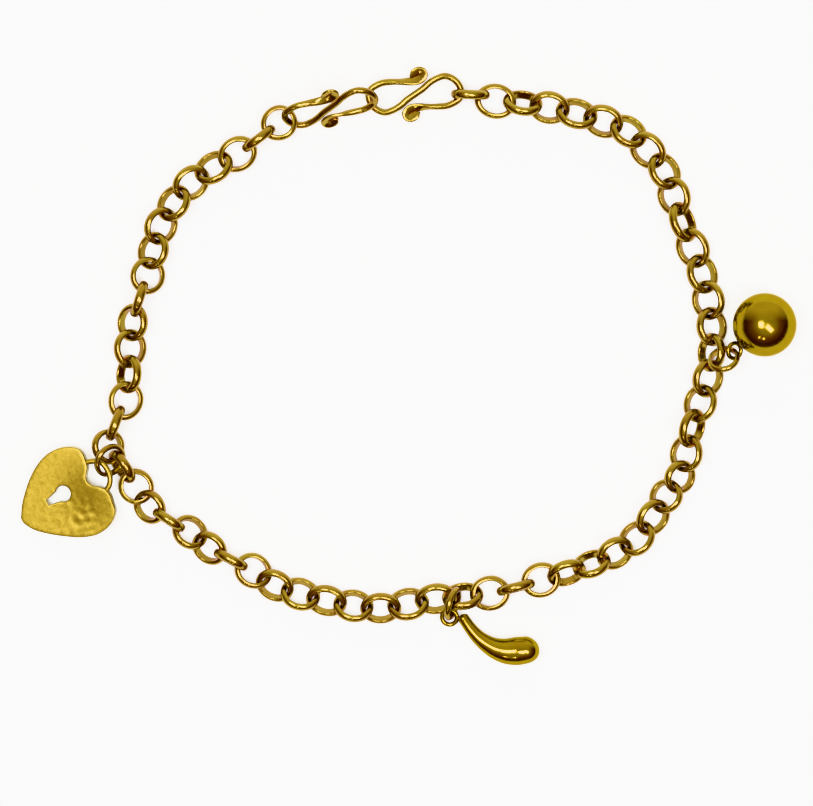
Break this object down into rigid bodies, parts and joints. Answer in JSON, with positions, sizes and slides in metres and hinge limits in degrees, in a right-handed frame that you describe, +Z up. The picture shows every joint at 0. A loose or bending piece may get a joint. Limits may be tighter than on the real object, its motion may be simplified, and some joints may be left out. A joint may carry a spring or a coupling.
{
  "type": "charm bracelet",
  "caption": "Closed belcher-chain bracelet of yellow gold lying flat, with an S-hook clasp and a keyhole heart, a plain ball and a curved bean on jump rings.",
  "frame": {"origin": "on the supporting surface, under the middle of the bounding box", "axes": "+Z up from the surface, +Y towards the clasp, +X towards the ball charm"},
  "size_m": [0.0826, 0.0634, 0.0068],
  "materials": {
    "polished_gold": "polished yellow gold",
    "satin_gold": "satin yellow gold"
  },
  "bodies": {
    "root": {"chain_right": "polished_gold", "chain_left": "polished_gold", "s_hook_right": "polished_gold", "s_hook_left": "polished_gold", "heart_charm": "satin_gold", "heart_jump_ring": "polished_gold", "ball_charm": "polished_gold", "ball_jump_ring": "polished_gold", "bean_charm": "polished_gold", "bean_jump_ring": "polished_gold"}
  },
  "joints": []
}
